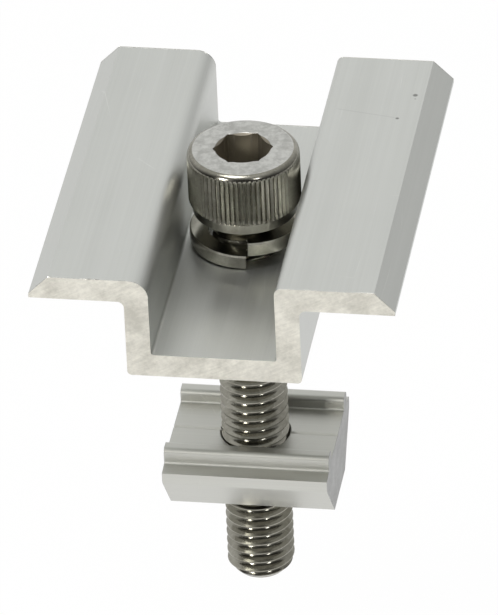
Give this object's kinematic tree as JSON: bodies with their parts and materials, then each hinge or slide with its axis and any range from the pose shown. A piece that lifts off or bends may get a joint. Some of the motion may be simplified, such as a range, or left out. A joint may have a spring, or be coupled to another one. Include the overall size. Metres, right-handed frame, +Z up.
{
  "type": "solar panel mid clamp",
  "caption": "Aluminium hat-section clamp that holds two framed solar panels, with its socket head screw, spring washer and rail nut.",
  "frame": {"origin": "on the screw's axis, in the plane of the rail nut's shoulders, which bear on the underside of the rail's lips", "axes": "+Z up along the screw, +X along the rail from one panel to the next, +Y along the clamp's extrusion"},
  "size_m": [0.0418, 0.05, 0.058],
  "materials": {
    "clamp_aluminium": "mill finish extrusion, saw-cut ends",
    "screw_stainless": "bright stainless steel",
    "washer_stainless": "bright stainless steel",
    "nut_aluminium": "mill finish extrusion, saw-cut ends"
  },
  "bodies": {
    "nut": {"rail_nut": "nut_aluminium"},
    "clamp": {"clamp_bracket": "clamp_aluminium", "spring_washer": "washer_stainless"},
    "screw": {"cap_screw": "screw_stainless"}
  },
  "joints": [
    {"name": "clamp_travel", "type": "slide", "parent": "nut", "child": "clamp", "axis": [0, 0, 1], "range_m": [-0.02, 0.008]},
    {"name": "screw_turn", "type": "hinge", "parent": "clamp", "child": "screw", "pos_m": [0, 0, 0.0314], "axis": [0, 0, 1], "range_deg": [-5759, 2303]}
  ],
  "couplings": [
    {"joint": "clamp_travel", "follows": "screw_turn", "m_per_rad": 0.00019894}
  ]
}
